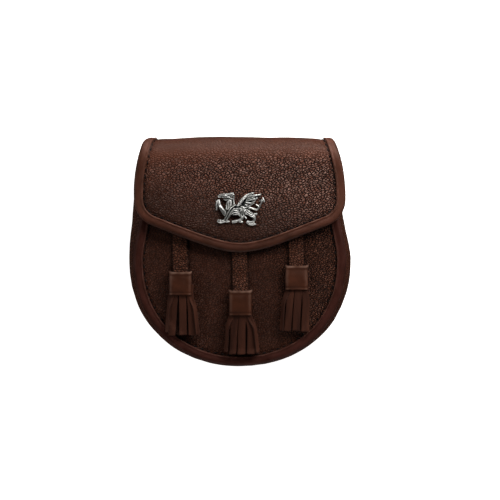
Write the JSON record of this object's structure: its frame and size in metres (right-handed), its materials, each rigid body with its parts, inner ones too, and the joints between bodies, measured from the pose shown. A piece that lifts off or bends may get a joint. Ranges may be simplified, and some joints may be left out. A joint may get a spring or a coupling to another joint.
{
  "type": "sporran pouch",
  "caption": "Round leather sporran pouch: a bound flap rolled over its top, fringed tassels on straps, a cast heraldic dragon badge on the flap and D-rings on the back.",
  "frame": {"origin": "on the surface that the pouch lies on, under the middle of its box", "axes": "+X to the right across the front, +Y towards the rolled top edge, +Z out of the front; the pouch lies on its back"},
  "size_m": [0.1902, 0.1962, 0.0551],
  "materials": {
    "flap_leather": "pebble-grained brown leather, satin",
    "body_leather": "pebble-grained darker brown leather, satin",
    "binding_leather": "smooth brown leather strip, semi-gloss",
    "strap_leather": "pebble-grained brown leather, satin",
    "collar_leather": "smooth brown leather, semi-gloss",
    "fringe_leather": "cut brown leather, satin, raw at the edges",
    "thread": "waxed dark brown linen thread",
    "pewter": "cast pewter with a dark patina in its hollows, polished on its ridges",
    "steel": "nickel-plated steel, polished"
  },
  "bodies": {
    "root": {"back_and_flap": "flap_leather", "front_panel": "body_leather", "gusset": "body_leather", "front_binding": "binding_leather", "back_binding": "binding_leather", "flap_binding": "binding_leather", "tassel_strap_left": "strap_leather", "tassel_strap_centre": "strap_leather", "tassel_strap_right": "strap_leather", "tassel_collar_left": "collar_leather", "tassel_collar_centre": "collar_leather", "tassel_collar_right": "collar_leather", "tassel_fringe_left": "fringe_leather", "tassel_fringe_centre": "fringe_leather", "tassel_fringe_right": "fringe_leather", "dragon_badge": "pewter", "flap_snap": "steel", "ring_tab_left": "strap_leather", "ring_tab_right": "strap_leather", "ring_left": "steel", "ring_right": "steel"}
  },
  "joints": []
}
